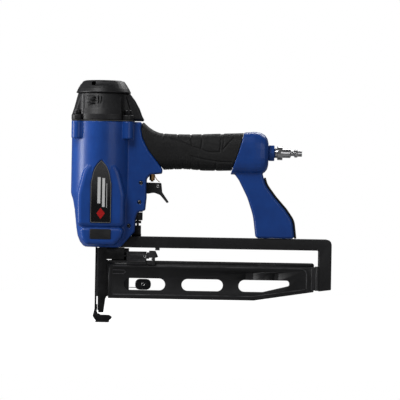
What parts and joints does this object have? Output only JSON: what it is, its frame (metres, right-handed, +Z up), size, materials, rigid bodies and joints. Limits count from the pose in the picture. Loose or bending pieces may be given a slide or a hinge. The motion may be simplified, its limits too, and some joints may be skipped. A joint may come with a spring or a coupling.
{
  "type": "pneumatic finish nailer",
  "caption": "Air-driven straight finish nailer with barrel body, turning exhaust lid, rubber grip, hooked contact foot, sliding rail magazine, pusher, trigger and air plug.",
  "frame": {"origin": "middle of the hand grip, in the tool's middle plane", "axes": "+X back along the magazine towards the air plug, +Z up along the driver towards the exhaust lid, Y across the tool with the middle plane at Y = 0"},
  "size_m": [0.3036, 0.0732, 0.2798],
  "materials": {
    "blue_enamel": "sprayed enamel on a die-cast aluminium body, satin gloss",
    "black_coat": "black anodised or powder-coated aluminium and steel, satin",
    "black_rubber": "moulded soft rubber with a fine pattern, matt",
    "dark_steel": "blackened hardened steel",
    "bright_steel": "plated or ground bright steel",
    "brass": "turned brass",
    "black_plastic": "moulded acetal",
    "gasket_grey": "pressed fibre gasket with a light edge",
    "label_black": "glossy printed plate, dark with a soft lighter sheen"
  },
  "bodies": {
    "tool_body": {"housing": "blue_enamel", "tail_bracket": "blue_enamel", "inlet_bushing": "blue_enamel", "air_plug": "bright_steel", "cap": "black_coat", "cap_gasket": "gasket_grey", "cap_bolt_1": "dark_steel", "cap_bolt_2": "dark_steel", "cap_bolt_3": "dark_steel", "cap_bolt_4": "dark_steel", "grip_sleeve": "black_rubber", "leg_bumper": "black_rubber", "tail_seal": "black_rubber", "label_plate_left": "label_black", "label_plate_right": "label_black", "badge_left": "label_black", "badge_right": "label_black", "cylinder_sleeve": "bright_steel", "piston_bumper": "black_rubber", "head_valve_spring": "bright_steel", "trigger_pin": "dark_steel", "guide_pin_upper": "dark_steel", "guide_pin_lower": "dark_steel", "trigger_valve_body": "brass", "trigger_valve_spring": "bright_steel", "trigger_spring": "brass", "contact_spring": "bright_steel", "nosepiece": "dark_steel", "nose_cover": "black_coat", "cover_screw_1": "dark_steel", "cover_screw_2": "dark_steel", "magazine_frame": "black_coat", "leg_screw_1": "dark_steel", "leg_screw_2": "dark_steel", "magazine_dowel_1": "dark_steel", "magazine_dowel_2": "dark_steel"},
    "deflector": {"exhaust_deflector": "black_coat", "deflector_screw": "dark_steel"},
    "driver": {"piston": "bright_steel", "piston_ring": "black_rubber", "driver_blade": "dark_steel"},
    "valve_head": {"head_valve": "black_plastic"},
    "trigger_arm": {"trigger": "black_coat", "safety_lever_pin": "dark_steel"},
    "lever": {"safety_lever": "dark_steel"},
    "valve_stem": {"trigger_valve_stem": "brass"},
    "lifter": {"safety_lifter": "dark_steel"},
    "wheel": {"depth_wheel": "black_coat"},
    "contact": {"contact_arm": "dark_steel", "no_mar_pad": "black_rubber"},
    "rail": {"magazine_rail": "black_coat", "latch_block": "black_coat", "latch_pin": "dark_steel", "latch_spring": "bright_steel"},
    "pusher_carriage": {"pusher": "dark_steel", "pusher_spring_roll": "bright_steel", "spring_roll_pin": "dark_steel"},
    "latch": {"latch_lever": "black_coat"}
  },
  "joints": [
    {"name": "deflector_turn", "type": "hinge", "parent": "tool_body", "child": "deflector", "pos_m": [-0.105, 0, 0.066], "axis": [0, 0, 1], "continuous": true},
    {"name": "driver_stroke", "type": "slide", "parent": "tool_body", "child": "driver", "axis": [0, 0, -1], "range_m": [0, 0.082]},
    {"name": "head_valve_lift", "type": "slide", "parent": "tool_body", "child": "valve_head", "axis": [0, 0, 1], "range_m": [0, 0.003], "stiffness_N_per_m": 2000, "springref_m": -0.002, "deforming": ["head_valve_spring"]},
    {"name": "trigger_pull", "type": "hinge", "parent": "tool_body", "child": "trigger_arm", "pos_m": [-0.0596, 0, -0.0371], "axis": [0, -1, 0], "range_deg": [0, 8], "stiffness_Nm_per_rad": 0.4, "springref_deg": -8.59, "deforming": ["trigger_spring"]},
    {"name": "valve_stem_lift", "type": "slide", "parent": "tool_body", "child": "valve_stem", "axis": [0, 0, 1], "range_m": [0, 0.0018], "stiffness_N_per_m": 300, "springref_m": -0.002, "deforming": ["trigger_valve_spring"]},
    {"name": "safety_lever_tilt", "type": "hinge", "parent": "trigger_arm", "child": "lever", "pos_m": [-0.0405, 0, -0.0405], "axis": [0, 1, 0], "range_deg": [0, 5], "stiffness_Nm_per_rad": 0.02, "springref_deg": -11.46},
    {"name": "contact_press", "type": "slide", "parent": "tool_body", "child": "lifter", "axis": [0, 0, 1], "range_m": [0, 0.0065], "stiffness_N_per_m": 400, "springref_m": -0.004, "deforming": ["contact_spring"]},
    {"name": "depth_wheel_turn", "type": "hinge", "parent": "lifter", "child": "wheel", "pos_m": [-0.063, 0, -0.0804], "axis": [0, 0, 1], "range_deg": [-540, 540]},
    {"name": "foot_depth", "type": "slide", "parent": "lifter", "child": "contact", "axis": [0, 0, 1], "range_m": [-0.0015, 0.0015]},
    {"name": "magazine_slide", "type": "slide", "parent": "tool_body", "child": "rail", "axis": [1, 0, 0], "range_m": [0, 0.15]},
    {"name": "pusher_slide", "type": "slide", "parent": "rail", "child": "pusher_carriage", "axis": [1, 0, 0], "range_m": [0, 0.175], "stiffness_N_per_m": 20, "springref_m": -0.2},
    {"name": "latch_press", "type": "hinge", "parent": "rail", "child": "latch", "pos_m": [-0.054, 0, -0.122], "axis": [0, 1, 0], "range_deg": [0, 6], "stiffness_Nm_per_rad": 0.1, "springref_deg": -5.73, "deforming": ["latch_spring"]}
  ],
  "couplings": [
    {"joint": "depth_wheel_turn", "follows": "foot_depth", "rad_per_m": 6283.2}
  ]
}
